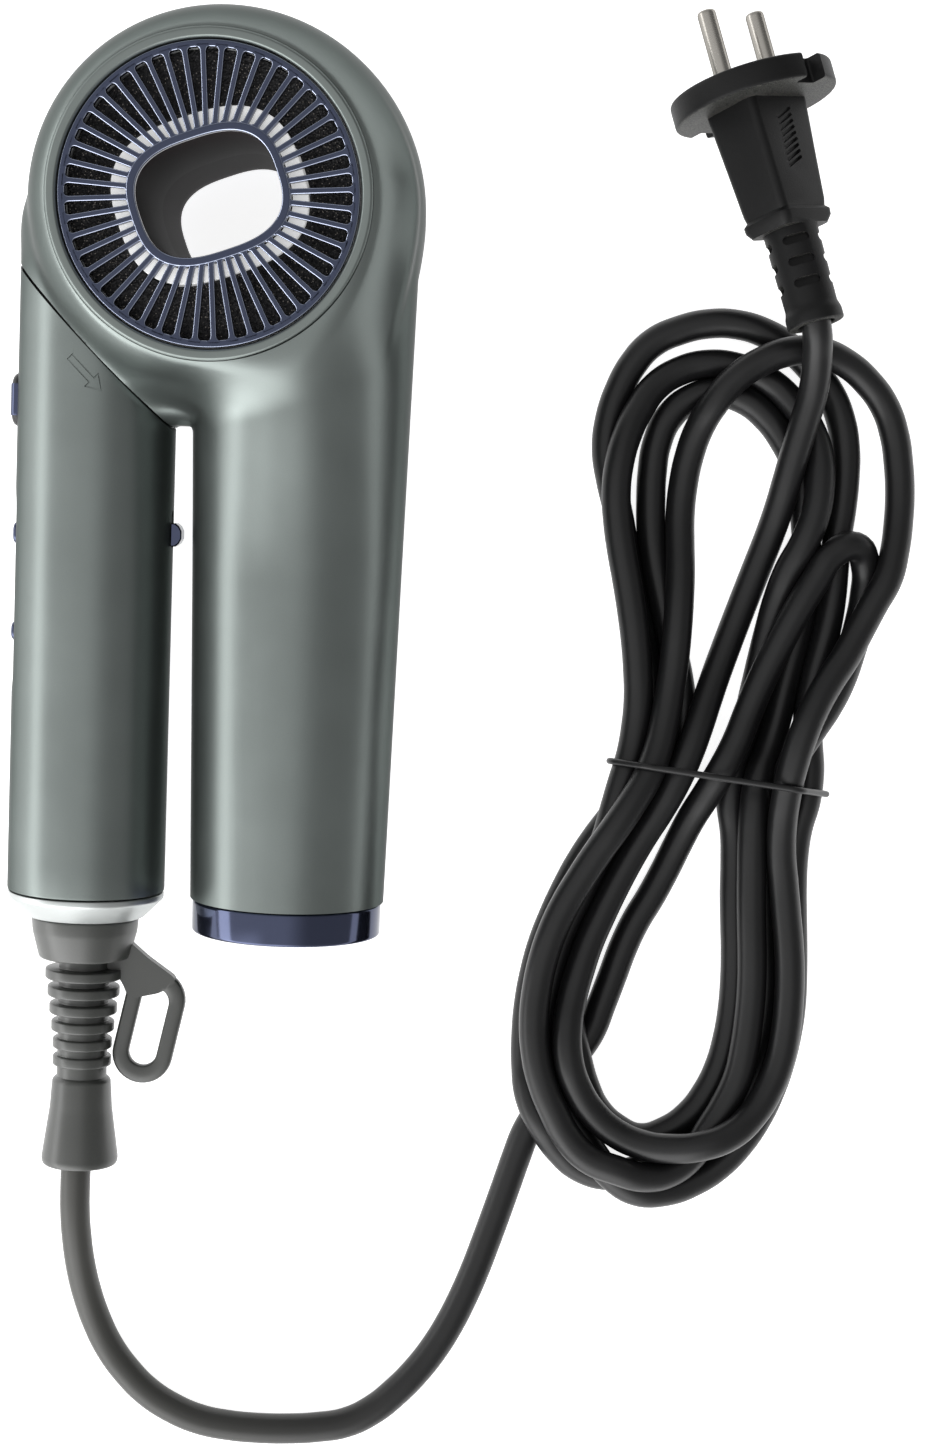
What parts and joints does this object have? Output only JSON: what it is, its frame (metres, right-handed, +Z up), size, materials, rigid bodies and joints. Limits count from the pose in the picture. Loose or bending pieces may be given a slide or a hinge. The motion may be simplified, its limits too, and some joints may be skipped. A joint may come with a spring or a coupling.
{
  "type": "folding hair dryer",
  "caption": "Ring-headed hair dryer folded flat against its swivelling handle, with sprung buttons, a slide switch, a tied-up mains cord and a round-pin plug.",
  "frame": {"origin": "on the floor, under the middle of the dryer without its cord, as it lies folded on its rear rim and its air outlet", "axes": "+Z up, out of the front grille; +Y along the folded handle and barrel, away from the air outlet and the cord; +X from the handle towards the barrel"},
  "size_m": [0.2334, 0.3799, 0.0817],
  "materials": {
    "shell_satin": "satin metallic lacquer",
    "satin_silver": "satin",
    "grille_gunmetal": "semi-gloss metallic, blue violet",
    "blue_chrome": "dark blue chrome, polished",
    "white_plastic": "fine satin",
    "grey_plastic": "matte",
    "filter_foam": "open-cell foam",
    "duct_dark": "satin",
    "black_plastic": "matte",
    "black_rubber": "matte",
    "relief_grey": "matte, dark olive grey",
    "cord_black": "matte",
    "mica": "matte",
    "heating_wire": "drawn wire",
    "steel": "bright, nickelled",
    "circuit_board": "satin"
  },
  "bodies": {
    "head": {"body_shell_front": "shell_satin", "body_shell_rear": "shell_satin", "front_grille": "grille_gunmetal", "rear_grille": "grille_gunmetal", "front_inner_ring": "white_plastic", "rear_inner_ring": "white_plastic", "front_filter": "filter_foam", "rear_filter": "filter_foam", "front_filter_frame": "grey_plastic", "rear_filter_frame": "grey_plastic", "centre_duct": "duct_dark", "fan_shroud": "black_plastic", "motor_can": "steel", "motor_mount": "black_rubber", "heater_frame": "mica", "heater_coil": "heating_wire", "heater_sleeve": "mica", "thermostat": "steel", "thermal_fuse": "white_plastic", "ion_emitter": "black_plastic", "outlet_grille": "black_plastic", "outlet_ring": "blue_chrome", "swivel_hub": "black_plastic", "swivel_retainer": "steel"},
    "rotor": {"impeller": "grey_plastic", "motor_shaft": "steel"},
    "handle": {"handle_shell": "shell_satin", "handle_end_cap": "satin_silver", "control_panel": "blue_chrome", "swivel_socket": "black_plastic", "swivel_washer": "steel", "main_pcb": "circuit_board", "pcb_carrier": "black_plastic", "pcb_screw_upper": "steel", "pcb_screw_lower": "steel", "heat_switch": "black_plastic", "speed_switch": "black_plastic", "cool_shot_switch": "black_plastic", "power_switch": "steel", "switch_board": "circuit_board", "cord_clamp": "black_plastic", "clamp_screw_left": "steel", "clamp_screw_right": "steel", "lead_inner_end": "cord_black", "strain_relief": "relief_grey", "cord": "cord_black", "cord_hank": "cord_black", "cord_tie": "cord_black", "plug_body": "black_plastic", "plug_pin_upper": "steel", "plug_pin_lower": "steel"},
    "power_slider": {"power_slider": "blue_chrome"},
    "cool_shot_button": {"cool_shot_button": "blue_chrome"},
    "heat_button": {"heat_button": "blue_chrome"},
    "speed_button": {"speed_button": "blue_chrome"}
  },
  "joints": [
    {"name": "head_swivel", "type": "hinge", "parent": "handle", "child": "head", "pos_m": [-0.02953, 0.06248, 0.03645], "axis": [-0.7046, -0.7038, -0.0907], "range_deg": [0, 180]},
    {"name": "rotor_spin", "type": "hinge", "parent": "head", "child": "rotor", "pos_m": [0.02234, 0.03263, 0.03517], "axis": [0.003, -0.9953, -0.0968], "continuous": true},
    {"name": "cool_shot_press", "type": "slide", "parent": "handle", "child": "cool_shot_button", "axis": [0.9995, 0, 0.0314], "range_m": [0, 0.0015], "stiffness_N_per_m": 600, "springref_m": -0.002},
    {"name": "heat_press", "type": "slide", "parent": "handle", "child": "heat_button", "axis": [0.9995, 0, 0.0314], "range_m": [0, 0.0005], "stiffness_N_per_m": 1200, "springref_m": -0.001},
    {"name": "speed_press", "type": "slide", "parent": "handle", "child": "speed_button", "axis": [0.9995, 0, 0.0314], "range_m": [0, 0.0005], "stiffness_N_per_m": 1200, "springref_m": -0.001},
    {"name": "power_slide", "type": "slide", "parent": "handle", "child": "power_slider", "axis": [-0.003, 0.9953, 0.0968], "range_m": [0, 0.0032]}
  ]
}
